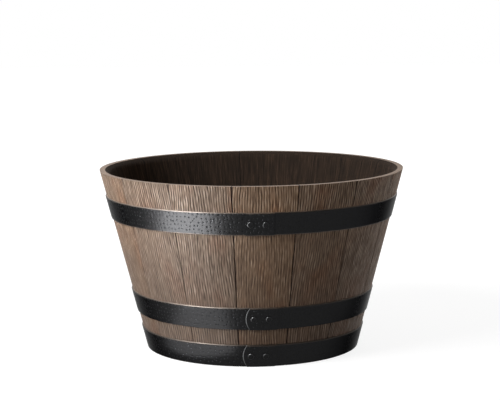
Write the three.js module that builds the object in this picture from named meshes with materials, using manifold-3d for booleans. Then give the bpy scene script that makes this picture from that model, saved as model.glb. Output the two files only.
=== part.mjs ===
// Half-barrel planter: bevelled oak staves held by three riveted steel hoops round a boarded head.
// Millimetres, +Z up. The origin is the centre of the footprint, on the floor, and -Y is the front.
import * as THREE from "three";
import { mergeVertices } from "three/addons/utils/BufferGeometryUtils.js";
import Module from "manifold-3d";

const { degToRad } = THREE.MathUtils;

// Body of the barrel
const rimRadius = 200; // outside of the staves at the rim
const baseRadius = 138.5; // outside of the staves at the floor
const barrelHeight = 237;
const staveCount = 15;
const staveThickness = 12; // square to the wall
const firstSeamAngle = degToRad(-7); // the seam left of the middle of the front
const facetsPerStave = 6;
const leastFacet = 1 / 16; // of a stave's facet, the shortest step between two sections of a hoop
const overcut = 10; // how far a cutting body runs past what it cuts
const seamGap = 0.3; // between two staves, and between two boards of the head
const seamBevel = 1.5; // on the long outer edges of a stave
const rimBevelWidth = 5; // inner corner of the rim
const rimBevelHeight = 4;
const chimeBevelWidth = 5; // inner corner of the foot
const chimeBevelHeight = 10;

// Head: the boarded bottom, held in the croze, the groove inside the staves
const headHeight = 18; // floor to the underside of the head
const headThickness = 12;
const headEdge = 5; // what the bevelled edge of the head is thinned to
const headBevel = 14; // how far in that bevel runs
const crozeDepth = 4;
const crozeClearance = 0.3;
const boardCount = 4;
const dowelRadius = 4;
const dowelLength = 36;
const dowelSpread = 90; // between the two dowels of a joint
const dowelClearance = 0.3;
const drainRadius = 6;
const drainSpread = 140; // between the two drain holes of an inner board

// Hoops: flat strip bent round the staves, its ends lapped and riveted
const hoopWidth = 30;
const hoopThickness = 1.2;
const hoopSeat = 0.25; // hoop to wood
const hoopEdgeBevel = 0.3;
const lapGap = 0.3; // between the two layers of a lap
const lapEndMargin = 10; // rivet centre to the end of the strip
const lapEndDepth = 5; // how far the rounded end of the strip is drawn back at its corners
const lapEndArcSteps = 12;
const lapOverrun = 1.5; // how far the outer layer stays up past the inner end
const lapRamp = 12; // length over which it then comes down on the wood
const topHoopEdge = 181; // lower edge of each hoop, up the wall from the floor
const middleHoopEdge = 52.5;
const bottomHoopEdge = 1;
const topLapAngle = degToRad(2.3); // middle of each lap, from the front
const middleLapAngle = degToRad(4);
const bottomLapAngle = degToRad(2.8);

// Rivets
const rivetSpacing = 18.5;
const rivetRadius = 2;
const rivetClearance = 0.3;
const rivetHeadRadius = 4;
const rivetHeadHeight = 1.6;
const rivetSeat = 0.1; // head to strip
const rivetDomeSteps = 5;
const roundSides = 24; // of rivets, dowels and drilled holes

const oak = new THREE.MeshStandardMaterial({ color: 0x7d6856, roughness: 0.8, metalness: 0 });
const headOak = new THREE.MeshStandardMaterial({ color: 0x4a3b30, roughness: 0.9, metalness: 0 });
const beech = new THREE.MeshStandardMaterial({ color: 0xc7a277, roughness: 0.7, metalness: 0 });
const blackSteel = new THREE.MeshStandardMaterial({ color: 0x1e1f22, roughness: 0.45, metalness: 0.6 });

const wasm = await Module();
wasm.setup();

// The wall is a cone, so its section is a straight line that leans out by this angle.
const wallLean = Math.atan((rimRadius - baseRadius) / barrelHeight);
const staveAngle = (2 * Math.PI) / staveCount;
const wallFacets = staveCount * facetsPerStave;
const facetAngle = staveAngle / facetsPerStave;
const wallLength = barrelHeight / Math.cos(wallLean);

const hoops = [
  { name: "top_hoop", lowerEdge: topHoopEdge, lapAngle: topLapAngle },
  { name: "middle_hoop", lowerEdge: middleHoopEdge, lapAngle: middleLapAngle },
  { name: "bottom_hoop", lowerEdge: bottomHoopEdge, lapAngle: bottomLapAngle },
];

function toSolid(geometry) {
  const bare = geometry.clone();
  bare.deleteAttribute("normal");
  bare.deleteAttribute("uv");
  const merged = mergeVertices(bare, 1e-4);
  return new wasm.Manifold(
    new wasm.Mesh({
      numProp: 3,
      vertProperties: merged.attributes.position.array,
      triVerts: new Uint32Array(merged.index.array),
    }),
  );
}

function toGeometry(solid) {
  const { vertProperties, triVerts } = solid.getMesh();
  const geometry = new THREE.BufferGeometry();
  geometry.setAttribute("position", new THREE.BufferAttribute(vertProperties, 3));
  geometry.setIndex(new THREE.BufferAttribute(triVerts, 1));
  geometry.computeVertexNormals();
  return geometry;
}

// Revolves [radius, height] points about Z. Facet corners start at startAngle from the front.
function revolve(points, sides, startAngle = 0) {
  const profile = points.map(([radius, height]) => new THREE.Vector2(radius, height));
  return new THREE.LatheGeometry(profile, sides, startAngle).rotateX(Math.PI / 2);
}

// The point at this radius, angle from the front towards +X, and height.
function onCircle(radius, angle, height) {
  return new THREE.Vector3(radius * Math.sin(angle), -radius * Math.cos(angle), height);
}

// [radius, height] of a point up the wall by `along` and out of it by `out`, both measured on the slope.
function onWall(along, out) {
  return [
    baseRadius + along * Math.sin(wallLean) + out * Math.cos(wallLean),
    along * Math.cos(wallLean) - out * Math.sin(wallLean),
  ];
}

// Radius of the wall at a height, `depth` in from its outside and square to the slope.
function wallRadius(height, depth = 0) {
  return baseRadius + height * Math.tan(wallLean) - depth / Math.cos(wallLean);
}

// Places a geometry that was modelled with X along the strip, Y up the wall and Z out of it.
function ontoWall(geometry, along, angle) {
  const [radius, height] = onWall(along, 0);
  return geometry
    .rotateX(Math.PI / 2 + wallLean)
    .rotateZ(angle)
    .translate(...onCircle(radius, angle, height).toArray());
}

// The croze widens towards its mouth as the bevelled edge of the head does.
const headMiddle = headHeight + headThickness / 2;
const headTaper = (headThickness - headEdge) / 2 / headBevel;
const crozeHalf = headEdge / 2 + crozeClearance;
const crozeMouthHalf = crozeHalf + headTaper * crozeDepth;
const crozeRadius = wallRadius(headMiddle - crozeHalf, staveThickness) + crozeDepth;
const headRadius = crozeRadius - crozeClearance;

// The barrel's wall in one ring, which the staves are cut from.
function makeWall() {
  const inside = (height) => wallRadius(height, staveThickness);
  return toSolid(
    revolve(
      [
        [inside(0) + chimeBevelWidth, 0],
        [baseRadius, 0],
        [rimRadius, barrelHeight],
        [inside(barrelHeight) + rimBevelWidth, barrelHeight],
        [inside(barrelHeight - rimBevelHeight), barrelHeight - rimBevelHeight],
        [inside(headMiddle + crozeMouthHalf), headMiddle + crozeMouthHalf],
        [crozeRadius, headMiddle + crozeHalf],
        [crozeRadius, headMiddle - crozeHalf],
        [inside(headMiddle - crozeMouthHalf), headMiddle - crozeMouthHalf],
        [inside(chimeBevelHeight), chimeBevelHeight],
        [inside(0) + chimeBevelWidth, 0],
      ],
      wallFacets,
      firstSeamAngle,
    ),
  );
}

// One stave, its left edge on the first seam: a slice of the wall with its outer edges bevelled.
function makeStave(wall) {
  const middle = firstSeamAngle + staveAngle / 2;
  const reach = rimRadius + overcut;
  const tip = seamGap / 2 / Math.sin(staveAngle / 2); // moves both sides in by half the gap
  const slice = new THREE.Shape([
    new THREE.Vector2(0, -tip),
    new THREE.Vector2(reach * Math.tan(staveAngle / 2), -tip - reach),
    new THREE.Vector2(-reach * Math.tan(staveAngle / 2), -tip - reach),
  ]);
  const wedge = new THREE.ExtrudeGeometry(slice, {
    depth: barrelHeight + 2 * overcut,
    bevelEnabled: false,
  })
    .translate(0, 0, -overcut)
    .rotateZ(middle);
  let stave = wall.intersect(toSolid(wedge));
  const barSide = seamBevel * Math.SQRT2;
  for (const side of [-1, 1]) {
    const bar = new THREE.BoxGeometry(barSide, wallLength + 2 * overcut, barSide);
    bar.rotateY(Math.PI / 4);
    stave = stave.subtract(toSolid(ontoWall(bar, wallLength / 2, middle + (side * staveAngle) / 2)));
  }
  return stave;
}

// The head in one disc, which the boards are cut from.
function makeHead() {
  const top = headHeight + headThickness;
  const disc = revolve(
    [
      [0, headHeight],
      [headRadius - headBevel, headHeight],
      [headRadius, headMiddle - headEdge / 2],
      [headRadius, headMiddle + headEdge / 2],
      [headRadius - headBevel, top],
      [0, top],
    ],
    wallFacets,
    firstSeamAngle,
  );
  return toSolid(disc);
}

const boardWidth = (2 * headRadius) / boardCount;

function boardMiddle(index) {
  return (index - (boardCount - 1) / 2) * boardWidth;
}

// A board of the head, with its dowel holes and its drain holes.
function makeBoard(head, index) {
  const cutLength = 2 * (headRadius + overcut);
  const cutHeight = headThickness + 2 * overcut;
  const slab = new THREE.BoxGeometry(boardWidth - seamGap, cutLength, cutHeight);
  let board = head.intersect(toSolid(slab.translate(boardMiddle(index), 0, headMiddle)));
  for (const joint of [index - 1, index]) {
    if (joint < 0 || joint > boardCount - 2) continue;
    for (const side of [-1, 1]) {
      board = board.subtract(toSolid(dowelAt(joint, side, dowelRadius + dowelClearance, dowelClearance)));
    }
  }
  const isOuter = index === 0 || index === boardCount - 1;
  for (const place of isOuter ? [0] : [-drainSpread / 2, drainSpread / 2]) {
    const drill = new THREE.CylinderGeometry(drainRadius, drainRadius, cutHeight, roundSides);
    drill.rotateX(Math.PI / 2).translate(boardMiddle(index), place, headMiddle);
    board = board.subtract(toSolid(drill));
  }
  return board;
}

// A dowel, or with a clearance the hole for it, across the joint between two boards.
function dowelAt(joint, side, radius, endClearance = 0) {
  const jointMiddle = boardMiddle(joint) + boardWidth / 2;
  return new THREE.CylinderGeometry(radius, radius, dowelLength + 2 * endClearance, roundSides)
    .rotateZ(Math.PI / 2)
    .translate(jointMiddle, (side * dowelSpread) / 2, headMiddle);
}

// A closed body swept through rings of corners. The section is convex, so a fan closes each end.
function sweep(rings) {
  const corners = rings[0].length;
  const faces = [];
  for (let ring = 0; ring < rings.length - 1; ring++) {
    for (let i = 0; i < corners; i++) {
      const here = ring * corners + i;
      const next = ring * corners + ((i + 1) % corners);
      faces.push(here, next, next + corners, here, next + corners, here + corners);
    }
  }
  const last = (rings.length - 1) * corners;
  for (let i = 1; i < corners - 1; i++) {
    faces.push(0, i + 1, i, last, last + i, last + i + 1);
  }
  const geometry = new THREE.BufferGeometry().setFromPoints(rings.flat());
  return geometry.setIndex(faces);
}

const layerStep = hoopThickness + lapGap;
const lapTop = hoopSeat + layerStep + hoopThickness; // outside of the outer layer, from the wood

// The angles at which a hoop's outer end lies, its inner end, where its outer layer starts down and
// where it lands on the wood, and its two rivets.
function lapOf(hoop) {
  const [radius] = onWall(hoop.lowerEdge + hoopWidth / 2, hoopSeat);
  const halfLap = (rivetSpacing / 2 + lapEndMargin) / radius;
  const innerEnd = hoop.lapAngle + halfLap;
  const rampStart = innerEnd + lapOverrun / radius;
  return {
    outerEnd: hoop.lapAngle - halfLap,
    innerEnd,
    rampStart,
    landing: rampStart + lapRamp / radius,
    rivets: [-1, 1].map((side) => hoop.lapAngle + (side * rivetSpacing) / 2 / radius),
  };
}

// The strip leaves its outer end on top of the lap, comes down past the inner end, goes once round
// and ends under itself. Its corners lie on the same lines as the staves' facets.
function makeHoop(hoop) {
  const { outerEnd, innerEnd, rampStart, landing, rivets } = lapOf(hoop);
  const lastAngle = innerEnd + 2 * Math.PI;
  const angles = [outerEnd, rampStart, landing, lastAngle];
  const firstFacet = Math.ceil((outerEnd - firstSeamAngle) / facetAngle);
  for (let angle = firstSeamAngle + firstFacet * facetAngle; angle < lastAngle; angle += facetAngle) {
    const isApart = angles.every((other) => Math.abs(other - angle) > leastFacet * facetAngle);
    if (isApart) angles.push(angle);
  }
  angles.sort((a, b) => a - b);

  const stripBelow = hoop.lowerEdge;
  const stripAbove = hoop.lowerEdge + hoopWidth;
  const section = [
    [stripAbove, 0],
    [stripAbove, hoopThickness - hoopEdgeBevel],
    [stripAbove - hoopEdgeBevel, hoopThickness],
    [stripBelow + hoopEdgeBevel, hoopThickness],
    [stripBelow, hoopThickness - hoopEdgeBevel],
    [stripBelow, 0],
  ];
  const rings = angles.map((angle) => {
    const down = THREE.MathUtils.clamp((angle - rampStart) / (landing - rampStart), 0, 1);
    const layer = layerStep * (1 - down);
    return section.map(([along, out]) => {
      const [radius, height] = onWall(along, hoopSeat + layer + out);
      return onCircle(radius, angle, height);
    });
  });
  let strip = toSolid(sweep(rings));

  const stripMiddle = stripBelow + hoopWidth / 2;
  strip = strip.subtract(toSolid(ontoWall(makeEndTrimmer(), stripMiddle, outerEnd)));
  const holeRadius = rivetRadius + rivetClearance;
  for (const angle of rivets) {
    const drill = new THREE.CylinderGeometry(holeRadius, holeRadius, 2 * (lapTop + overcut), roundSides);
    strip = strip.subtract(toSolid(ontoWall(drill.rotateX(Math.PI / 2), stripMiddle, angle)));
  }
  return strip;
}

// What rounds the outer end of a strip: all that lies beyond an arc, down to between the two layers.
function makeEndTrimmer() {
  const half = hoopWidth / 2 + hoopThickness; // past both edges of the strip
  const depth = lapEndDepth * (half / (hoopWidth / 2)) ** 2; // so the arc is lapEndDepth deep at them
  const arcRadius = (half ** 2 + depth ** 2) / (2 * depth);
  const halfArc = Math.asin(half / arcRadius);
  const beyond = new THREE.Shape();
  beyond.moveTo(-lapEndDepth, -half);
  beyond.lineTo(depth, -half);
  beyond.absarc(arcRadius, 0, arcRadius, Math.PI + halfArc, Math.PI - halfArc, true);
  beyond.lineTo(-lapEndDepth, half);
  return new THREE.ExtrudeGeometry(beyond, {
    depth: hoopThickness + overcut,
    bevelEnabled: false,
    curveSegments: lapEndArcSteps,
  }).translate(0, 0, hoopSeat + hoopThickness + lapGap / 2);
}

// A rivet with a low domed head, its shank flush with the inside of the strip.
function makeRivet() {
  const headBottom = lapTop + rivetSeat;
  const domeRadius = (rivetHeadRadius ** 2 + rivetHeadHeight ** 2) / (2 * rivetHeadHeight);
  const domeMiddle = headBottom + rivetHeadHeight - domeRadius;
  const points = [
    [0, hoopSeat],
    [rivetRadius, hoopSeat],
    [rivetRadius, headBottom],
  ];
  const halfDome = Math.asin(rivetHeadRadius / domeRadius);
  for (let step = 0; step < rivetDomeSteps; step++) {
    const tilt = halfDome * (1 - step / rivetDomeSteps);
    points.push([domeRadius * Math.sin(tilt), domeMiddle + domeRadius * Math.cos(tilt)]);
  }
  points.push([0, headBottom + rivetHeadHeight]);
  return revolve(points, roundSides);
}

const planter = new THREE.Group();

function addPiece(name, geometry, material) {
  const piece = new THREE.Mesh(geometry, material);
  piece.name = name;
  planter.add(piece);
  return piece;
}

const staveGeometry = toGeometry(makeStave(makeWall()));
for (let i = 0; i < staveCount; i++) {
  const number = String(i + 1).padStart(2, "0");
  addPiece(`stave_${number}`, staveGeometry, oak).rotation.z = i * staveAngle;
}

const head = makeHead();
for (let i = 0; i < boardCount; i++) {
  addPiece(`head_board_${i + 1}`, toGeometry(makeBoard(head, i)), headOak);
}
for (let joint = 0; joint < boardCount - 1; joint++) {
  addPiece(`head_dowel_${joint + 1}_front`, dowelAt(joint, -1, dowelRadius), beech);
  addPiece(`head_dowel_${joint + 1}_back`, dowelAt(joint, 1, dowelRadius), beech);
}

for (const hoop of hoops) {
  addPiece(hoop.name, toGeometry(makeHoop(hoop)), blackSteel);
  const [leftRivet, rightRivet] = lapOf(hoop).rivets;
  const middle = hoop.lowerEdge + hoopWidth / 2;
  addPiece(`${hoop.name}_rivet_left`, ontoWall(makeRivet(), middle, leftRivet), blackSteel);
  addPiece(`${hoop.name}_rivet_right`, ontoWall(makeRivet(), middle, rightRivet), blackSteel);
}

export default planter;
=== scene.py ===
# Half-barrel planter: weathered oak staves, hammered black steel hoops with riveted laps, boarded head.
import math
import bpy
import numpy as np
from mathutils import Matrix, Vector


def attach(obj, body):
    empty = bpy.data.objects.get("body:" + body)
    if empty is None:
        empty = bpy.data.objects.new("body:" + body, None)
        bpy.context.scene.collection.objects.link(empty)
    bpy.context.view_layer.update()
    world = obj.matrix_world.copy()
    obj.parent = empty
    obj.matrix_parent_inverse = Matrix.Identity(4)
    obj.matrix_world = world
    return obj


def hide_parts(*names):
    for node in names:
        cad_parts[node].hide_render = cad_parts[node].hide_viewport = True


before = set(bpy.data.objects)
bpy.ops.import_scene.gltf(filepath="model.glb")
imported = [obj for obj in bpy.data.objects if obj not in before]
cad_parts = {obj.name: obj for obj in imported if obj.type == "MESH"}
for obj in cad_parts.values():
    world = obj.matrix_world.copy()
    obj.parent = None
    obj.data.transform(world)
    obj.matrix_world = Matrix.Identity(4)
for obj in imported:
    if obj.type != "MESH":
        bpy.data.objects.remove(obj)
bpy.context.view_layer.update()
bpy.ops.object.select_all(action="DESELECT")
mm = 0.001
near = 0.1 * mm  # closer than this counts as the same place


# The barrel's measures are read off the frame, so the look follows the solids.
def pointsOf(piece):
    mesh = piece.data
    points = np.empty(len(mesh.vertices) * 3, np.float32)
    mesh.vertices.foreach_get("co", points)
    return points.reshape(-1, 3).astype(float)


def movePoints(piece, points):
    piece.data.vertices.foreach_set("co", points.astype(np.float32).ravel())
    piece.data.update()


staveNodes = sorted(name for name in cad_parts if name.startswith("stave_"))
boardNodes = sorted(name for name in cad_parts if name.startswith("head_board_"))
dowelNodes = sorted(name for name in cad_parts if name.startswith("head_dowel_"))
hoopNodes = ["top_hoop", "middle_hoop", "bottom_hoop"]
rivetNodes = sorted(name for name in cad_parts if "_rivet_" in name)

wood = np.vstack([pointsOf(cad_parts[name]) for name in staveNodes])
woodRadius = np.hypot(wood[:, 0], wood[:, 1])
barrelHeight = wood[:, 2].max()
rimRadius = woodRadius[wood[:, 2] > barrelHeight - near].max()
baseRadius = woodRadius[wood[:, 2] < near].max()
lean = math.atan2(rimRadius - baseRadius, barrelHeight)
wallLength = barrelHeight / math.cos(lean)
staveAngle = 2 * math.pi / len(staveNodes)


def toWall(points):  # angle from the front towards +X, distance up the wall, distance out of it
    x, y, z = points.T
    radius = np.hypot(x, y) - baseRadius
    along = radius * math.sin(lean) + z * math.cos(lean)
    out = radius * math.cos(lean) - z * math.sin(lean)
    return np.arctan2(x, -y), along, out


def fromWall(angle, along, out):
    radius = baseRadius + along * math.sin(lean) + out * math.cos(lean)
    height = along * math.cos(lean) - out * math.sin(lean)
    return np.stack([radius * np.sin(angle), -radius * np.cos(angle), height], axis=-1)


def middleAngle(node):
    x, y, _ = pointsOf(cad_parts[node]).mean(0)
    return math.atan2(x, -y)


hoopRows = {}  # each hoop's lower and upper edge, up the wall
for name in hoopNodes:
    _, along, _ = toWall(pointsOf(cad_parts[name]))
    hoopRows[name] = (along.min(), along.max())


# Seeded patterns
def smoothNoise(x, y, seed):  # from -1 to 1, with features one unit across
    tableSize = 256
    gain = 1.5  # brings its peaks near 1
    slopes = np.random.default_rng(seed).random((tableSize, tableSize)) * 2 * math.pi
    column, row = np.floor(x).astype(int), np.floor(y).astype(int)
    dx, dy = x - column, y - row

    def corner(right, up):
        slope = slopes[(column + right) % tableSize, (row + up) % tableSize]
        return np.cos(slope) * (dx - right) + np.sin(slope) * (dy - up)

    across = dx ** 3 * (dx * (dx * 6 - 15) + 10)
    upward = dy ** 3 * (dy * (dy * 6 - 15) + 10)
    low = corner(0, 0) * (1 - across) + corner(1, 0) * across
    high = corner(0, 1) * (1 - across) + corner(1, 1) * across
    return gain * (low * (1 - upward) + high * upward)


def smoothStep(value):
    value = np.clip(value, 0, 1)
    return value * value * (3 - 2 * value)


# Modelling by hand
def activate(piece):
    bpy.ops.object.select_all(action="DESELECT")
    bpy.context.view_layer.objects.active = piece
    piece.select_set(True)


def editMode(piece, action):  # with all or nothing selected
    activate(piece)
    bpy.ops.object.mode_set(mode="EDIT")
    bpy.ops.mesh.select_all(action=action)


def objectMode():
    bpy.ops.object.mode_set(mode="OBJECT")


def pick(piece, mode, test):  # selects the vertices or edges that pass the test, and enters edit mode
    editMode(piece, "DESELECT")
    objectMode()
    mesh = piece.data
    if mode == "VERT":
        for vertex in mesh.vertices:
            vertex.select = test(vertex.co)
    else:
        for edge in mesh.edges:
            edge.select = all(test(mesh.vertices[index].co) for index in edge.vertices)
    bpy.ops.object.mode_set(mode="EDIT")
    bpy.ops.mesh.select_mode(type=mode)


def applyModifier(piece, kind, **settings):
    modifier = piece.modifiers.new(kind.title(), kind)
    for key, value in settings.items():
        setattr(modifier, key, value)
    activate(piece)
    bpy.ops.object.modifier_apply(modifier=modifier.name)


def smoothShade(piece, degrees):
    activate(piece)
    bpy.ops.object.shade_smooth_by_angle(angle=math.radians(degrees))


def drawBar(section, length, columns):  # runs a section in the YZ plane along X as a closed bar
    step = length / columns
    editMode(section, "SELECT")
    bpy.ops.mesh.extrude_region_move(TRANSFORM_OT_translate={"value": (step, 0, 0)})
    objectMode()
    applyModifier(section, "ARRAY", count=columns, use_relative_offset=False, use_constant_offset=True,
                  constant_offset_displace=(step, 0, 0), use_merge_vertices=True, merge_threshold=step / 10)
    editMode(section, "SELECT")
    bpy.ops.mesh.fill_holes(sides=0)
    bpy.ops.mesh.select_all(action="SELECT")
    bpy.ops.mesh.normals_make_consistent(inside=False)
    objectMode()


def cutCaps(piece, cut):  # cuts the flat ends of a bar before it is bent
    editMode(piece, "DESELECT")
    bpy.ops.mesh.select_mode(type="FACE")
    bpy.ops.mesh.select_face_by_sides(number=4, type="GREATER")
    cut()
    objectMode()


def keep(piece, name, values):  # stores one number or one vector for each vertex
    kind = "FLOAT_VECTOR" if values.ndim == 2 else "FLOAT"
    attribute = piece.data.attributes.new(name, kind, "POINT")
    attribute.data.foreach_set("vector" if values.ndim == 2 else "value", values.astype(np.float32).ravel())


def copyPiece(source, name):
    piece = bpy.data.objects.new(name, source.data.copy())
    bpy.context.scene.collection.objects.link(piece)
    return piece


def copyNode(node, name):  # a CAD node's mesh as a new piece, its loose triangles joined
    piece = copyPiece(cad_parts[node], name)
    piece.data.materials.clear()
    editMode(piece, "SELECT")
    bpy.ops.mesh.remove_doubles(threshold=near / 10)
    objectMode()
    return piece


# Materials
def hexColour(text):  # sRGB hex to linear
    parts = [int(text[i:i + 2], 16) / 255 for i in (1, 3, 5)]
    return [p / 12.92 if p <= 0.04045 else ((p + 0.055) / 1.055) ** 2.4 for p in parts] + [1.0]


def addNode(tree, kind, settings=None, links=None):  # a number as a key is a socket's place
    node = tree.nodes.new(kind)
    for key, value in (settings or {}).items():
        if isinstance(key, int) or key in node.inputs:
            node.inputs[key].default_value = value
        elif key == "ramp":
            elements = node.color_ramp.elements
            elements.remove(elements[1])
            elements[0].position, elements[0].color = value[0][0], hexColour(value[0][1])
            for place, colour in value[1:]:
                elements.new(place).color = hexColour(colour)
        elif key == "span":  # from low and high, to low and high
            for place, number in enumerate(value, 1):
                node.inputs[place].default_value = number
        else:
            setattr(node, key, value)
    for key, source in (links or {}).items():
        tree.links.new(source, node.inputs[key])
    return node


def newMaterial(name):
    material = bpy.data.materials.new(name)
    material.use_nodes = True
    material.node_tree.nodes.clear()
    return material, material.node_tree


# Weathered oak: brushed by rain and sun, so the soft wood is gone and the hard grain stands pale.
weatheredOak = {
    "grain": [(0.0, "#3a2a1f"), (0.3, "#6b5543"), (0.6, "#957960"), (1.0, "#d2b8a0")],
    "warm": "#a8743f",  # in patches it keeps more of its colour
    "warmShare": 0.5,
    "silver": "#86807c",  # where the sun has bleached it grey
    "silverShare": 0.4,
    "patchWidth": 42,  # mm
    "patchLength": 75,
    "fading": 0.3,  # how much of its colour a silvered stave has lost
    "shades": (1.1, 0.98),  # brightness of the freshest stave and of the most silvered one
    "footShade": "#4a3c33",  # painted shade: the foot is darker, as if less light fell there
    "footShadeHeight": 200,  # mm
    "footShadeShare": 0.75,
    "seam": "#33241b",  # dirt along the seams, and painted shade in their gaps
    "fibreWidth": 0.75,  # mm, drawn coarser than real so as to show, as on the plain woods below
    "fibreLength": 14,
    "fibreShare": 0.15,  # how far the fibres raise or sink the grain
    "fibreBump": 0.25,  # mm
    "roughness": (0.9, 0.44),  # in the hollows, and on the hard grain that hands and brushes polish
    "specular": 0.11,
}


def makeWeatheredOak():
    look = weatheredOak
    material, tree = newMaterial("weathered_oak_brushed")
    flat = addNode(tree, "ShaderNodeAttribute", {"attribute_name": "flat"})
    grain = addNode(tree, "ShaderNodeAttribute", {"attribute_name": "grain"})
    tone = addNode(tree, "ShaderNodeAttribute", {"attribute_name": "tone"})
    edge = addNode(tree, "ShaderNodeAttribute", {"attribute_name": "edge"})
    place = addNode(tree, "ShaderNodeSeparateXYZ", {}, {0: flat.outputs["Vector"]})

    fibreScale = (1 / (look["fibreWidth"] * mm), 1 / (look["fibreLength"] * mm), 1)
    fibrePlace = addNode(tree, "ShaderNodeMapping", {"Scale": fibreScale}, {0: flat.outputs["Vector"]})
    fibres = addNode(tree, "ShaderNodeTexNoise", {"Scale": 1.0, "Detail": 3.0}, {0: fibrePlace.outputs[0]})
    patchScale = (1 / (look["patchWidth"] * mm), 1 / (look["patchLength"] * mm), 1)
    patchPlace = addNode(tree, "ShaderNodeMapping", {"Scale": patchScale}, {0: flat.outputs["Vector"]})
    patches = addNode(tree, "ShaderNodeTexNoise", {"Scale": 1.0, "Detail": 2.0}, {0: patchPlace.outputs[0]})

    fine = addNode(tree, "ShaderNodeMapRange", {"span": (0.3, 0.7, -look["fibreShare"], look["fibreShare"])},
                   {0: fibres.outputs[0]})
    height = addNode(tree, "ShaderNodeMath", {"operation": "ADD"},
                     {0: grain.outputs["Fac"], 1: fine.outputs[0]})
    bare = addNode(tree, "ShaderNodeValToRGB", {"ramp": look["grain"]}, {0: height.outputs[0]})
    warmth = addNode(tree, "ShaderNodeMapRange", {"span": (0.5, 0.7, 0.0, look["warmShare"])},
                     {0: patches.outputs[0]})
    warmed = addNode(tree, "ShaderNodeMix",
                     {"data_type": "RGBA", "blend_type": "SOFT_LIGHT", 7: hexColour(look["warm"])},
                     {0: warmth.outputs[0], 6: bare.outputs[0]})
    bleach = addNode(tree, "ShaderNodeMapRange", {"span": (0.5, 0.3, 0.0, look["silverShare"])},
                     {0: patches.outputs[0]})
    bleached = addNode(tree, "ShaderNodeMix",
                       {"data_type": "RGBA", "blend_type": "OVERLAY", 7: hexColour(look["silver"])},
                       {0: bleach.outputs[0], 6: warmed.outputs[2]})
    # painted shade: the oak grows darker towards the foot
    footShading = addNode(tree, "ShaderNodeMapRange",
                  {"span": (0.0, look["footShadeHeight"] * mm, look["footShadeShare"], 0.0)}, {0: place.outputs[1]})
    foot = addNode(tree, "ShaderNodeMix", {"data_type": "RGBA", 7: hexColour(look["footShade"])},
                   {0: footShading.outputs[0], 6: bleached.outputs[2]})
    shade = addNode(tree, "ShaderNodeMapRange", {"span": (0.0, 1.0, *look["shades"])},
                    {0: tone.outputs["Fac"]})
    colourLeft = addNode(tree, "ShaderNodeMapRange", {"span": (0.0, 1.0, 1.0, 1.0 - look["fading"])},
                         {0: tone.outputs["Fac"]})
    toned = addNode(tree, "ShaderNodeHueSaturation", {},
                    {"Color": foot.outputs[2], "Saturation": colourLeft.outputs[0],
                     "Value": shade.outputs[0]})
    # the seams darkened: dirt, and painted shade in their gaps
    dirtyAndShaded = addNode(tree, "ShaderNodeMix", {"data_type": "RGBA", 7: hexColour(look["seam"])},
                    {0: edge.outputs["Fac"], 6: toned.outputs[0]})

    bump = addNode(tree, "ShaderNodeBump", {"Strength": 0.6, "Distance": look["fibreBump"] * mm},
                   {"Height": fibres.outputs[0]})
    rough = addNode(tree, "ShaderNodeMapRange", {"span": (0.1, 0.7, *look["roughness"])},
                    {0: height.outputs[0]})
    shader = addNode(tree, "ShaderNodeBsdfPrincipled", {"Specular IOR Level": look["specular"]},
                     {"Base Color": dirtyAndShaded.outputs[2], "Roughness": rough.outputs[0],
                      "Normal": bump.outputs[0]})
    addNode(tree, "ShaderNodeOutputMaterial", {}, {0: shader.outputs[0]})
    return material


# Charred oak: the inside of a barrel is toasted, so it is nearly black and quite matt.
charredOak = {
    "colours": [(0.25, "#14100c"), (0.55, "#30241b"), (0.8, "#4e3b2e")],
    "fibreWidth": 1.4,  # mm
    "fibreLength": 30,
    # dirt along the seams, and painted shade in their gaps
    "seam": "#080605",
    "roughness": 0.95,
    "specular": 0.04,
}

# End grain: sawn across at the rim and the foot, with the cut fibres as short flecks.
endGrainOak = {
    "colours": [(0.2, "#4a392d"), (0.5, "#7f6855"), (0.8, "#a08972")],
    "fibreWidth": 2.2,
    "fibreLength": 2.6,
    # dirt along the seams, and painted shade in their gaps
    "seam": "#1c130d",
    "roughness": 0.85,
    "specular": 0.25,
}

# Beech: the dowels are turned from it, pale and even with a fine fleck.
turnedBeech = {
    "colours": [(0.2, "#a9875f"), (0.5, "#c7a277"), (0.8, "#d8b88f")],
    "fibreWidth": 0.8,
    "fibreLength": 20,
    "roughness": 0.6,
    "specular": 0.3,
}


def makePlainWood(name, look, onStave=False):
    material, tree = newMaterial(name)
    if onStave:
        source = addNode(tree, "ShaderNodeAttribute", {"attribute_name": "flat"}).outputs["Vector"]
    else:
        source = addNode(tree, "ShaderNodeTexCoord").outputs["Object"]
    scale = (1 / (look["fibreWidth"] * mm), 1 / (look["fibreLength"] * mm), 1 / (look["fibreWidth"] * mm))
    place = addNode(tree, "ShaderNodeMapping", {"Scale": scale}, {0: source})
    fibres = addNode(tree, "ShaderNodeTexNoise", {"Scale": 1.0, "Detail": 5.0, "Roughness": 0.6},
                     {0: place.outputs[0]})
    colour = addNode(tree, "ShaderNodeValToRGB", {"ramp": look["colours"]}, {0: fibres.outputs[0]}).outputs[0]
    if onStave:
        # the seams darkened: dirt, and painted shade in their gaps
        edge = addNode(tree, "ShaderNodeAttribute", {"attribute_name": "edge"})
        colour = addNode(tree, "ShaderNodeMix", {"data_type": "RGBA", 7: hexColour(look["seam"])},
                         {0: edge.outputs["Fac"], 6: colour}).outputs[2]
    bump = addNode(tree, "ShaderNodeBump", {"Strength": 0.7, "Distance": 0.4 * mm},
                   {"Height": fibres.outputs[0]})
    shader = addNode(tree, "ShaderNodeBsdfPrincipled",
                     {"Roughness": look["roughness"], "Specular IOR Level": look["specular"]},
                     {"Base Color": colour, "Normal": bump.outputs[0]})
    addNode(tree, "ShaderNodeOutputMaterial", {}, {0: shader.outputs[0]})
    return material
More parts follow.
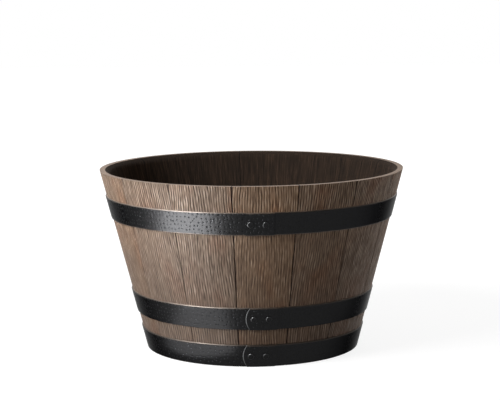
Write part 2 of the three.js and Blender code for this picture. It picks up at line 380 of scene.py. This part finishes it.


# Blackened steel: flat strip beaten while hot, so it keeps a satin black scale, rubbed off on the arrises,
# where the pale bare metal is also a painted highlight.
hammeredSteel = {
    "scale": "#171717",
    "scaleHigh": "#222223",
    "edgeTint": 0.42,  # the black scale stays dark where it is seen at a slant
    "ledge": "#6e6054",  # dust lies along the edges; less on the lower hoops as painted shade, and along the top hoop's lower edge as a painted highlight
    "bare": "#a3a5a6",  # where the scale is rubbed off an arris; also a painted highlight on the lap ends and rivet heads
    "pit": "#232426",  # polished by the hammer, so it mirrors what is round it
    "pitBump": 0.6,  # mm
    "grit": 0.9,  # mm, as coarse as it needs to be to show
    "gritBump": 0.1,
    "roughness": (0.26, 0.44),  # from one grain of the scale to the next
}


def makeHammeredSteel():
    look = hammeredSteel
    material, tree = newMaterial("blackened_hammered_steel")
    flat = addNode(tree, "ShaderNodeAttribute", {"attribute_name": "flat"})
    ledge = addNode(tree, "ShaderNodeAttribute", {"attribute_name": "ledge"})
    wear = addNode(tree, "ShaderNodeAttribute", {"attribute_name": "wear"})
    pit = addNode(tree, "ShaderNodeAttribute", {"attribute_name": "pit"})
    gritScale = 1 / (look["grit"] * mm)
    place = addNode(tree, "ShaderNodeMapping", {"Scale": (gritScale,) * 3}, {0: flat.outputs["Vector"]})
    grit = addNode(tree, "ShaderNodeTexNoise", {"Scale": 1.0, "Detail": 4.0}, {0: place.outputs[0]})
    scale = addNode(tree, "ShaderNodeValToRGB",
                    {"ramp": [(0.3, look["scale"]), (0.7, look["scaleHigh"])]}, {0: grit.outputs[0]})

    pitPlace = addNode(tree, "ShaderNodeVectorMath", {"operation": "MULTIPLY", 1: (1, 1, 0)},
                       {0: pit.outputs["Vector"]})
    away = addNode(tree, "ShaderNodeVectorMath", {"operation": "LENGTH"}, {0: pitPlace.outputs[0]})
    core = addNode(tree, "ShaderNodeMapRange",
                   {"interpolation_type": "SMOOTHSTEP", "span": (1.2, 0.3, 0.0, 1.0)},
                   {0: away.outputs["Value"]})
    pitShare = addNode(tree, "ShaderNodeSeparateXYZ", {}, {0: pit.outputs["Vector"]})
    hole = addNode(tree, "ShaderNodeMath", {"operation": "MULTIPLY"},
                   {0: core.outputs[0], 1: pitShare.outputs[2]})
    pitted = addNode(tree, "ShaderNodeMix", {"data_type": "RGBA", 7: hexColour(look["pit"])},
                     {0: hole.outputs[0], 6: scale.outputs[0]})
    # bare metal on the arrises: wear, and a painted highlight
    rubbedAndHighlit = addNode(tree, "ShaderNodeMix", {"data_type": "RGBA", 7: hexColour(look["bare"])},
                     {0: wear.outputs["Fac"], 6: pitted.outputs[2]})
    # dust along the edges, with painted shade on the lower hoops and a painted highlight under the top hoop
    dustAndPaintedLight = addNode(tree, "ShaderNodeMix", {"data_type": "RGBA", 7: hexColour(look["ledge"])},
                    {0: ledge.outputs["Fac"], 6: rubbedAndHighlit.outputs[2]})
    cover = addNode(tree, "ShaderNodeMath", {"operation": "MAXIMUM"},
                    {0: ledge.outputs["Fac"], 1: wear.outputs["Fac"]})
    metal = addNode(tree, "ShaderNodeMath", {"operation": "SUBTRACT", 0: 1.0}, {1: cover.outputs[0]})
    sunk = addNode(tree, "ShaderNodeBump",
                   {"invert": True, "Strength": 1.0, "Distance": look["pitBump"] * mm},
                   {"Height": hole.outputs[0]})
    bump = addNode(tree, "ShaderNodeBump", {"Strength": 0.3, "Distance": look["gritBump"] * mm},
                   {"Height": grit.outputs[0], "Normal": sunk.outputs[0]})
    rough = addNode(tree, "ShaderNodeMapRange", {"span": (0.3, 0.7, *look["roughness"])},
                    {0: grit.outputs[0]})
    shader = addNode(tree, "ShaderNodeBsdfPrincipled",
                     {"Specular Tint": (look["edgeTint"],) * 3 + (1.0,), "Specular IOR Level": 1.0},
                     {"Base Color": dustAndPaintedLight.outputs[2], "Metallic": metal.outputs[0],
                      "Roughness": rough.outputs[0], "Normal": bump.outputs[0]})
    addNode(tree, "ShaderNodeOutputMaterial", {}, {0: shader.outputs[0]})
    return material


oakOutside = makeWeatheredOak()
oakInside = makePlainWood("charred_oak_staves", charredOak, onStave=True)
oakEnds = makePlainWood("end_grain_oak", endGrainOak, onStave=True)
oakHead = makePlainWood("charred_oak_head", charredOak)
beech = makePlainWood("beech_turned", turnedBeech)
steel = makeHammeredSteel()
print("materials made")


# Staves: one flat bar with the CAD's radial section, carved anew and bent round for each stave
staves = {
    "columns": 190,
    "outerCuts": 100,  # rows between foot and rim
    "innerCuts": 40,
    "grainDepth": 0.12,  # mm, as all lengths here
    "charDepth": 0.175,
    "edgeRound": 0.8,
    "edgeDrift": 0.15,  # how much that varies along a seam
    "driftLength": 14,
    "leastSeam": 0.15,  # some seams are tight: this share of the widest
    "seamGap": 0.65,
    "leastGap": 0.04,  # behind the rounded edges the staves are tight
    "seamWander": 0.4,
    "wanderLength": 23,
    # how dark the seams are painted: dirt, and painted shade in their gaps
    "seamDirtAndShade": 0.9,
    "unevenness": 0.25,  # how far a stave may stand back from its neighbours
    "seed": 7,
    "seamSeed": 63276,  # found by trying 200,000, to suit the seams in view; the others follow from it
    "toneSeed": 98243,  # found in the same way, for the tones in view
}

# The hard lines of the grain. A triple gives a strength, then its size across and along the grain in mm.
grainLines = {
    "spacing": 3.3,  # real ones are finer, and would be too fine to show
    "bend": (2.0, 34, 58),  # the lines wander sideways by this many mm
    "sway": (0.6, 8, 20),
    "quiver": (0.3, 3.4, 15),
    "breaks": (1.2, 3, 14),
    "strength": 0.34,
    "standing": (0.22, 15, 26),  # in patches the hard grain stands out more
    "bitten": 0.2,  # and so it does at the rim and the foot, which weather most
    "bittenReach": 30,
    "ribs": (0.1, 5, 40),
    "hair": (0.16, 1.2, 9),
    "level": 0.42,
    "relief": 0.55,
}


def drawStaveSection():  # the radial section of the CAD stave, in the YZ plane
    section = copyNode(staveNodes[0], "stave_section")
    middle = middleAngle(staveNodes[0])
    editMode(section, "SELECT")
    bpy.ops.mesh.bisect(plane_co=(0, 0, 0), plane_no=(math.cos(middle), math.sin(middle), 0),
                        clear_inner=True, clear_outer=True)
    bpy.ops.mesh.select_all(action="SELECT")
    bpy.ops.mesh.remove_doubles(threshold=near)
    bpy.ops.mesh.dissolve_limited(angle_limit=math.radians(1))
    objectMode()
    _, along, out = toWall(pointsOf(section))
    movePoints(section, np.stack([np.zeros_like(along), along, out], axis=1))
    return section


def isInnerWall(co):  # the long stretch between the croze and the bevel of the rim
    return abs(co.z + innerDepth) < 2 * near and co.y > staveDepth * 2


staveSection = drawStaveSection()
corners = pointsOf(staveSection)
staveDepth = -corners[:, 2].min()
innerDepth = -corners[corners[:, 1] > wallLength / 2][:, 2].min()
pick(staveSection, "EDGE", lambda co: co.z > -near)
bpy.ops.mesh.subdivide(number_cuts=staves["outerCuts"])
objectMode()
pick(staveSection, "EDGE", isInnerWall)
bpy.ops.mesh.subdivide(number_cuts=staves["innerCuts"])
objectMode()
staveWidth = staveAngle * baseRadius
drawBar(staveSection, staveWidth, staves["columns"])
cutCaps(staveSection, bpy.ops.mesh.quads_convert_to_tris)
flatStave = pointsOf(staveSection)
print("flat stave drawn,", len(flatStave), "points")

seamRandom = np.random.default_rng(staves["seamSeed"])
seamWidths = seamRandom.uniform(staves["leastSeam"], 1, len(staveNodes))
staveTones = np.random.default_rng(staves["toneSeed"]).random(len(staveNodes))  # 1 is the most silvered


def drawGrain(across, along, seed):  # 1 on the crests of the grain, 0 in its hollows
    look = grainLines
    x, y = across / mm, along / mm

    def pattern(name, shift):
        _, width, length = look[name]
        return smoothNoise(x / width, y / length, seed + shift)

    x = x + look["bend"][0] * pattern("bend", 0) + look["sway"][0] * pattern("sway", 1)
    x = x + look["quiver"][0] * pattern("quiver", 6)
    lines = np.cos(2 * math.pi * x / look["spacing"])
    broken = smoothStep(0.7 + look["breaks"][0] * pattern("breaks", 2))
    standing = smoothStep(0.6 + 1.2 * pattern("standing", 7))
    bitten = smoothStep((along - hoopRows["top_hoop"][0]) / (look["bittenReach"] * mm))
    bitten = bitten + smoothStep((hoopRows["middle_hoop"][1] - along) / (look["bittenReach"] * mm))
    ribs = pattern("ribs", 3)
    hair = pattern("hair", 4)
    crests = lines * broken * (look["strength"] + look["standing"][0] * standing + look["bitten"] * bitten)
    height = look["level"] + look["relief"] * crests + look["ribs"][0] * ribs + look["hair"][0] * hair
    return np.clip(height, 0, 1)


def carveStave(index, node):
    look, seed = staves, staves["seed"] + 40 * index
    random = np.random.default_rng(seed)
    piece = copyPiece(staveSection, node.replace("stave", "oak_stave"))
    share = flatStave[:, 0] / staveWidth * 2 - 1  # -1 at the left seam, 1 at the right
    along, out = flatStave[:, 1], flatStave[:, 2]
    radius = baseRadius + along * math.sin(lean) + out * math.cos(lean)
    halfWidth = radius * staveAngle / 2
    across = share * halfWidth
    grain = drawGrain(across, along, seed)

    outside = smoothStep(1 + out / (2 * mm))  # 1 on the outer face
    atRim = smoothStep((along - wallLength) / (3 * mm) + 1.5)
    inside = (out < -innerDepth + 1.5 * mm).astype(float)
    seamIndex = np.where(share < 0, index, (index + 1) % len(staveNodes))
    seam = seamWidths[seamIndex]
    driftPlace = along / mm / look["driftLength"] + 50 * np.sign(share)  # another drift at each seam
    drift = look["edgeDrift"] * smoothNoise(driftPlace, along * 0, seed + 5)
    edgeRound = seam * (look["edgeRound"] + drift) * mm
    toEdge = np.maximum(halfWidth - np.abs(across), 0)
    curl = np.clip(1 - toEdge / edgeRound, 0, 1)
    drop = edgeRound * (1 - np.sqrt(1 - curl ** 2))
    back = random.random() * look["unevenness"] * mm
    carved = out - outside * (drop + back + (1 - grain) * look["grainDepth"] * mm)
    carved = carved + inside * (1 - grain) * look["charDepth"] * mm

    gap = look["leastGap"] + seam * look["seamGap"] * np.maximum(outside, 0.3 * atRim)
    angle = middleAngle(node) + share * (1 - gap * mm / 2 / halfWidth) * staveAngle / 2
    wanderPlace = along / mm / look["wanderLength"]
    wander = look["seamWander"] * mm * smoothNoise(wanderPlace, seamIndex * 9.5 + 0.5, look["seed"])
    angle = angle + np.abs(share) ** 3 * wander / radius
    points = fromWall(angle, along, carved)
    points[:, 2] = np.clip(points[:, 2], 0, barrelHeight)
    movePoints(piece, points)

    keep(piece, "flat", np.stack([across + index, along, out], axis=1))  # the index moves the pattern on
    keep(piece, "grain", grain)
    keep(piece, "tone", np.full(len(across), staveTones[index]))
    # darker along the seams: dirt, and painted shade in the gaps between staves
    dirtAndShade = look["seamDirtAndShade"] * seam ** 0.75 * smoothStep(1.3 - toEdge / (look["edgeRound"] * mm))
    keep(piece, "edge", dirtAndShade)
    return piece


def paintStave(piece):  # the outer face weathered, the ends sawn across, the inside charred
    mesh = piece.data
    for material in (oakOutside, oakEnds, oakInside):
        mesh.materials.append(material)
    points = pointsOf(piece)
    _, along, out = toWall(points)
    slots = np.zeros(len(mesh.polygons), int)
    for face in mesh.polygons:
        ids = list(face.vertices)
        if np.abs(out[ids]).max() < 3 * mm and np.ptp(out[ids]) < 1.6 * mm:
            continue  # close to the outer face, and flat enough to be part of it
        isEnd = np.ptp(points[ids, 2]) < near * 4 and len(ids) < 6
        slots[face.index] = 1 if isEnd else 2
    mesh.polygons.foreach_set("material_index", slots)
    mesh.update()


for index, node in enumerate(staveNodes):
    stave = carveStave(index, node)
    paintStave(stave)
    smoothShade(stave, 50)
    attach(stave, "root")
    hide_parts(node)
bpy.data.objects.remove(staveSection)
print("staves carved")


# Hoops: each a strip whose outer end lies on its inner one. A triple is for the top, middle and bottom hoop.
hoops = {
    "columnWidth": 0.6,  # mm, as all lengths here
    "faceCuts": 30,
    "edgeRound": 0.5,
    "upperEdge": (1.1, 0.85, 0.7),  # the upper arris is beaten flat, which catches the light
    "endCurve": 5.0,  # how far the rounded end is drawn back at its corners
    "endReach": 14,  # length over which that curve fades
    "endWearAndHighlight": 0.9,  # width of the rubbed arris at that end, painted pale as a highlight
    "endBareAndHighlight": (0.0, 0.8, 0.7),  # how bare it is, which also paints a highlight there
    "endHighlightLow": 0.3,  # the share of that which is left at its lower corner, as the painted highlight is brighter above
    "bite": 0.7,  # how far the hot strip's back has sunk into the wood
    "dustWidth": 0.7,
    "ledgeWidth": 1.0,
    # dust along the upper edge, less on each lower hoop as painted shade
    "ledgeDustAndShade": (1.0, 0.65, 0.4),
    "underWidth": 0.84,
    "underDustAndHighlight": (0.5, 0.0, 0.0),  # and along the lower edge, on the top hoop only, as a painted highlight
    "pitSpacing": 5.5,
    "pitRadius": 0.85,
    "pitDepth": 0.17,
    "plainFrom": -8,  # degrees: the strip is beaten less on this side of its lap
    "plainFade": 22,
    "plainTo": 150,
    "plainEnd": 30,
    "plainShare": 0.2,
    "wave": 0.02,  # slow unevenness of a beaten strip
    "waveSize": (17, 13),
    "edgeWave": 0.22,
    "edgeWaveLength": 9,
    "seed": 91,
}


def pitField(x, y, spacing, radius, seed):  # for each point, its way from the nearest pit, and how sunk it is
    columns, rows = 512, 64  # the field repeats after so many pits
    jitter = 0.5
    random = np.random.default_rng(seed)
    shiftX, shiftY = random.random((2, columns, rows)) - 0.5
    size = 0.75 + 0.5 * random.random((columns, rows))
    column, row = np.floor(x / spacing).astype(int), np.floor(y / spacing).astype(int)
    nearest = np.full((len(x), 2), 9.0)  # in radii of the pit
    for right in (-1, 0, 1):
        for up in (-1, 0, 1):
            i, j = (column + right) % columns, (row + up) % rows
            centreX = (column + right + 0.5 + jitter * shiftX[i, j]) * spacing
            centreY = (row + up + 0.5 + jitter * shiftY[i, j]) * spacing
            way = np.stack([x - centreX, y - centreY], axis=1) / (radius * size[i, j])[:, None]
            closer = np.hypot(*way.T) < np.hypot(*nearest.T)
            nearest[closer] = way[closer]
    return nearest, np.exp(-(np.hypot(*nearest.T) / 1.5) ** 2)


def drawStrip(name, thickness, width, upperEdge, length):  # a straight bar with the hoop's section
    look = hoops
    bpy.ops.object.select_all(action="DESELECT")
    bpy.ops.mesh.primitive_plane_add(size=1, location=(0, 0, 0), rotation=(0, math.pi / 2, 0))
    strip = bpy.context.object
    strip.name = name
    strip.scale = (thickness, width, 1)
    bpy.ops.object.transform_apply(location=True, rotation=True, scale=True)
    editMode(strip, "SELECT")
    bpy.ops.mesh.delete(type="ONLY_FACE")
    objectMode()
    face = thickness / 2 - near / 10
    for side, edge, cuts in ((-1, look["edgeRound"], 3), (1, upperEdge, 1)):
        pick(strip, "VERT", lambda co: co.z > face and co.y * side > 0)
        bpy.ops.mesh.bevel(offset=edge * mm, segments=cuts, affect="VERTICES")
        objectMode()
    pick(strip, "EDGE", lambda co: co.z > face)
    bpy.ops.mesh.subdivide(number_cuts=look["faceCuts"])
    objectMode()
    drawBar(strip, length, round(length / (look["columnWidth"] * mm)))
    cutCaps(strip, bpy.ops.mesh.poke)
    return strip


def forgeHoop(index, node):
    look, seed = hoops, hoops["seed"] + 10 * index
    angle, along, out = toWall(pointsOf(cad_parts[node]))
    low, high = hoopRows[node]
    seat = out.min()
    onTop = out > (seat + out.max()) / 2 + near  # the outer layer of the lap
    outerEnd = angle[onTop].min()
    rivetAngles = [middleAngle(f"{node}_rivet_{side}") for side in ("left", "right")]
    innerEnd = sum(rivetAngles) - outerEnd  # the lap lies evenly about its rivets
    thickness = out[np.abs(angle) > 1].max() - seat  # measured away from the lap
    layer = out.max() - seat - thickness
    landing = angle[onTop].max()
    middle = (low + high) / 2
    radius = baseRadius + middle * math.sin(lean)
    length = (innerEnd + 2 * math.pi - outerEnd) * radius
    piece = drawStrip(f"steel_{node}", thickness, high - low, look["upperEdge"][index], length)

    x, y, z = pointsOf(piece).T
    halfWidth = (high - low) / 2
    fromMiddle = y / halfWidth
    fading = np.clip(1 - x / (look["endReach"] * mm), 0, 1)
    x0 = x + look["endCurve"] * mm * fromMiddle ** 2 * fading ** 1.5
    turn = np.degrees(outerEnd + x / radius)
    plain = smoothStep((turn - look["plainFrom"]) / look["plainFade"])
    plain = plain * smoothStep((look["plainTo"] - turn) / look["plainEnd"])
    pitPlace, basins = pitField(x / mm, y / mm + 100, look["pitSpacing"], look["pitRadius"], seed)
    beaten = (1 - (1 - look["plainShare"]) * plain) * smoothStep(x / mm / 4 - 0.5)  # none at the very end
    beaten = beaten * smoothStep((halfWidth - np.abs(y)) / mm - 1)  # nor at the edges
    waves = smoothNoise(x / mm / look["waveSize"][0], y / mm / look["waveSize"][1], seed + 1)
    front = smoothStep((z + thickness / 2) / thickness * 2 - 1)  # 1 on the outer face
    edgeWaves = smoothNoise(x / mm / look["edgeWaveLength"], np.sign(y) * 7.5, seed + 2)
    y0 = middle + y + look["edgeWave"] * mm * edgeWaves * np.abs(fromMiddle) ** 3
    onLap = 1 - smoothStep((x / radius + outerEnd - innerEnd) / (landing - innerEnd))
    outward = seat + thickness / 2 + z + layer * onLap - (1 - front) * look["bite"] * mm
    outward = outward - front * mm * (look["pitDepth"] * basins * beaten + look["wave"] * (0.5 + 0.5 * waves))
    movePoints(piece, fromWall(outerEnd + x0 / radius, y0, outward))

    keep(piece, "flat", np.stack([x0 + index, y0, z], axis=1))
    between = (x > near) & (x < length - near)  # not on the end faces
    # dust along the edges: less down the barrel as painted shade, and a painted highlight along the top
    # hoop's lower edge
    upper = smoothStep((y - halfWidth) / (look["dustWidth"] * mm) + look["ledgeWidth"] / look["dustWidth"])
    lower = smoothStep((-y - halfWidth) / (look["dustWidth"] * mm) + look["underWidth"] / look["dustWidth"])
    keep(piece, "ledge", (look["ledgeDustAndShade"][index] * upper + look["underDustAndHighlight"][index] * lower) * between)
    keep(piece, "pit", np.column_stack([pitPlace, beaten * front * smoothStep((basins - 0.4) / 0.3)]))
    # the lap end's arris painted pale: wear, and a painted highlight, brighter at its upper corner
    highlightRising = look["endHighlightLow"] + (1 - look["endHighlightLow"]) * smoothStep(0.5 + fromMiddle / 2)
    bare = look["endBareAndHighlight"][index] * highlightRising
    keep(piece, "wear", bare * smoothStep(1.4 - x / (look["endWearAndHighlight"] * mm)) * front)
    piece.data.materials.append(steel)
    smoothShade(piece, 40)
    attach(piece, "root")
    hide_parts(node)
    print(node, "forged,", len(piece.data.polygons), "faces")


for index, node in enumerate(hoopNodes):
    forgeHoop(index, node)


# Rivets: one is drawn upright, then set into each lap
rivets = {
    "sides": 48,
    "roundingCuts": 7,
    "dent": 0.04,  # mm, the marks of the hammer that closed it
    "dentSize": 1.9,
    "bare": 0.05,  # how bare its shoulder is rubbed, a pale ring that also paints a highlight
    "seed": 23,
}


def drawRivet(node):  # standing on the ground with its axis upright
    look = rivets
    _, along, out = toWall(pointsOf(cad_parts[node]))
    headRadius = (along.max() - along.min()) / 2
    headFoot = out[(along - along.mean()) > headRadius - near].min()
    headHeight = out.max() - headFoot
    shankLength = headFoot - out.min()
    bpy.ops.object.select_all(action="DESELECT")
    bpy.ops.mesh.primitive_cylinder_add(vertices=look["sides"], radius=headRadius, depth=headHeight,
                                        location=(0, 0, headHeight / 2))
    piece = bpy.context.object
    piece.name = "steel_rivet"
    bpy.ops.object.transform_apply(location=True, rotation=True, scale=True)
    pick(piece, "EDGE", lambda co: co.z > headHeight - near)
    bpy.ops.mesh.bevel(offset=headHeight * 0.98, offset_type="OFFSET", segments=look["roundingCuts"],
                       profile=0.5, affect="EDGES")
    objectMode()
    pick(piece, "VERT", lambda co: co.z < near)
    bpy.ops.mesh.select_mode(type="FACE")
    bpy.ops.mesh.inset(thickness=headRadius / 2)
    bpy.ops.mesh.extrude_region_move(TRANSFORM_OT_translate={"value": (0, 0, -shankLength)})
    objectMode()
    return piece, headFoot


def setRivet(index, node):
    look = rivets
    rivet = copyPiece(rivetShape, node.replace("_rivet", "_steel_rivet"))
    _, along, _ = toWall(pointsOf(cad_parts[node]))
    middleAlong = (along.max() + along.min()) / 2
    x, y, z = rivetPoints.T
    size = look["dentSize"]
    dents = look["dent"] * mm * smoothNoise(x / mm / size + 9 * index, y / mm / size, look["seed"])
    z = z + np.where(z > 0.3 * mm, np.minimum(dents, 0), 0)
    turned = middleAngle(node)
    right = np.array([math.cos(turned), math.sin(turned), 0])
    upward = fromWall(turned, 1, 0) - fromWall(turned, 0, 0)
    outward = fromWall(turned, 0, 1) - fromWall(turned, 0, 0)
    foot = fromWall(turned, middleAlong, rivetFoot)
    movePoints(rivet, foot + np.outer(x, right) + np.outer(y, upward) + np.outer(z, outward))
    keep(rivet, "flat", np.stack([x + index, y, z], axis=1))
    shoulder = np.hypot(x, y) / np.hypot(x, y).max()
    # a pale ring on the shoulder: wear, and a painted highlight
    keep(rivet, "wear", look["bare"] * smoothStep((shoulder - 0.7) / 0.2))
    rivet.data.materials.clear()
    rivet.data.materials.append(steel)
    smoothShade(rivet, 60)
    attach(rivet, "root")
    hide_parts(node)


rivetShape, rivetFoot = drawRivet(rivetNodes[0])
rivetPoints = pointsOf(rivetShape)
for index, node in enumerate(rivetNodes):
    setRivet(index, node)
bpy.data.objects.remove(rivetShape)
print("rivets set")


# The head: its boards get rounded edges, and the dowels inside it keep their own meshes
boards = {
    "edgeRound": 0.6,  # mm
    "roundFrom": 40,  # degrees: edges flatter than this aren't rounded
}

for node in boardNodes:
    board = copyNode(node, f"oak_{node}")
    board.data.materials.append(oakHead)
    applyModifier(board, "BEVEL", width=boards["edgeRound"] * mm, segments=2, limit_method="ANGLE",
                  angle_limit=math.radians(boards["roundFrom"]))
    smoothShade(board, 25)  # less than a step of the bevel, so that the flat faces stay flat
    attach(board, "root")
    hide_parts(node)
for node in dowelNodes:
    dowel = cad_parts[node]
    dowel.data.materials.clear()
    dowel.data.materials.append(beech)
print("head boards and dowels done")


# Stage, light and camera
stage = {
    "floorSize": 12,
    "floorColour": "#8f8f8f",
    "white": 0.86,  # share of the floor's white that needs no lamp, next to the barrel
    "whiteFrom": 0.45,  # metres from the barrel: from here the floor pales into the backdrop
    "whiteTo": 1.1,
    "ambient": 0.25,
    "underFoot": 0.96,  # share of the foot's radius within which no white shows, as it lies in the dark
}


def seenRays(tree):  # 1 for what the camera sees, also in a mirror or through glass
    ray = addNode(tree, "ShaderNodeLightPath")
    direct = addNode(tree, "ShaderNodeMath", {"operation": "MAXIMUM"},
                     {0: ray.outputs["Is Camera Ray"], 1: ray.outputs["Is Glossy Ray"]})
    seen = addNode(tree, "ShaderNodeMath", {"operation": "MAXIMUM"},
                   {0: direct.outputs[0], 1: ray.outputs["Is Transmission Ray"]})
    return seen.outputs[0]


def makeFloor():
    bpy.ops.object.select_all(action="DESELECT")
    bpy.ops.mesh.primitive_plane_add(size=stage["floorSize"], location=(0, 0, 0))
    floor = bpy.context.object
    floor.name = "floor"
    material, tree = newMaterial("pale_floor")
    matt = addNode(tree, "ShaderNodeBsdfDiffuse", {"Color": hexColour(stage["floorColour"])})
    place = addNode(tree, "ShaderNodeTexCoord")
    away = addNode(tree, "ShaderNodeVectorMath", {"operation": "LENGTH"}, {0: place.outputs["Object"]})
    white = addNode(tree, "ShaderNodeMapRange",
                    {"span": (stage["whiteFrom"], stage["whiteTo"], stage["white"], 1.0)},
                    {0: away.outputs["Value"]})
    footRadius = stage["underFoot"] * baseRadius
    clear = addNode(tree, "ShaderNodeMath", {"operation": "GREATER_THAN", 1: footRadius},
                    {0: away.outputs["Value"]})
    strength = addNode(tree, "ShaderNodeMath", {"operation": "MULTIPLY"},
                       {0: white.outputs[0], 1: clear.outputs[0]})
    glow = addNode(tree, "ShaderNodeEmission", {"Color": (1, 1, 1, 1)}, {"Strength": strength.outputs[0]})
    both = addNode(tree, "ShaderNodeAddShader", {}, {0: matt.outputs[0], 1: glow.outputs[0]})
    shown = addNode(tree, "ShaderNodeMixShader", {},
                    {0: seenRays(tree), 1: matt.outputs[0], 2: both.outputs[0]})
    addNode(tree, "ShaderNodeOutputMaterial", {}, {0: shown.outputs[0]})
    floor.data.materials.append(material)


def makeWorld():
    world = bpy.data.worlds.new("studio")
    bpy.context.scene.world = world
    world.use_nodes = True
    tree = world.node_tree
    tree.nodes.clear()
    dim = addNode(tree, "ShaderNodeBackground", {"Color": (1, 1, 1, 1), "Strength": stage["ambient"]})
    white = addNode(tree, "ShaderNodeBackground", {"Color": (1, 1, 1, 1), "Strength": 1.0})
    shown = addNode(tree, "ShaderNodeMixShader", {},
                    {0: seenRays(tree), 1: dim.outputs[0], 2: white.outputs[0]})
    addNode(tree, "ShaderNodeOutputWorld", {}, {0: shown.outputs[0]})


lamps = {  # azimuth from the front towards +X and elevation in degrees, metres, watts
    "key": {"azimuth": -52, "elevation": 30, "distance": 1.6, "size": (0.8, 1.0), "power": 26.5},
    "back": {"azimuth": 170, "elevation": 30, "distance": 2.2, "size": (1.2, 1.2), "power": 9},
    "glint": {"azimuth": -67, "elevation": 52, "distance": 1.5, "size": (0.3, 0.3), "power": 160},
    "farCard": {"azimuth": -47, "distance": 0.48, "size": (0.3, 0.24), "power": 9},
    "nearCard": {"azimuth": -36, "distance": 0.24, "size": (0.15, 0.18), "power": 0.4},
    "sideCard": {"azimuth": 104, "distance": 0.4, "size": (0.36, 0.4), "power": 0.2},
}
cardHeight = 3 * mm


def addLamp(name):
    look = lamps[name]
    data = bpy.data.lights.new(f"{name}_lamp", "AREA")
    data.shape = "RECTANGLE"
    data.size, data.size_y = look["size"]
    data.energy = look["power"]
    lamp = bpy.data.objects.new(f"{name}_lamp", data)
    lamp.visible_camera = False
    bpy.context.scene.collection.objects.link(lamp)
    return lamp


def hangLamp(name):  # a softbox, aimed at the middle of the barrel
    look = lamps[name]
    azimuth, elevation = math.radians(look["azimuth"]), math.radians(look["elevation"])
    aim = Vector((0, 0, barrelHeight / 2))
    away = Vector((math.sin(azimuth) * math.cos(elevation), -math.cos(azimuth) * math.cos(elevation),
                   math.sin(elevation)))
    lamp = addLamp(name)
    lamp.location = aim + away * look["distance"]
    lamp.rotation_euler = (-away).to_track_quat("-Z", "Y").to_euler()
    return lamp


def layCard(name):  # a bright card flat on the floor, which shows only as gloss
    look = lamps[name]
    azimuth = math.radians(look["azimuth"])
    lamp = addLamp(name)
    lamp.location = (look["distance"] * math.sin(azimuth), -look["distance"] * math.cos(azimuth), cardHeight)
    lamp.rotation_euler = (math.pi, 0, azimuth)
    lamp.visible_diffuse = False


makeFloor()
makeWorld()
hangLamp("key")
hangLamp("back")
hangLamp("glint").visible_diffuse = False  # it adds gloss alone
for name in ("farCard", "nearCard", "sideCard"):
    layCard(name)
print("stage lit")

view = {
    "place": (0.0, -2.2678, 0.5086),
    "aim": (-0.002, 0.0, 0.1931),
    "lens": 124.36,
    "sensor": 36,
    "roll": -0.47,
}
cameraData = bpy.data.cameras.new("camera")
cameraData.lens = view["lens"]
cameraData.sensor_width = view["sensor"]
camera = bpy.data.objects.new("camera", cameraData)
bpy.context.scene.collection.objects.link(camera)
direction = Vector(view["aim"]) - Vector(view["place"])
level = direction.to_track_quat("-Z", "Y").to_matrix().to_4x4()
turn = level @ Matrix.Rotation(math.radians(view["roll"]), 4, "Z")
camera.matrix_world = Matrix.Translation(view["place"]) @ turn
bpy.context.scene.camera = camera
bpy.context.scene.view_settings.view_transform = "Standard"

print("scene done")
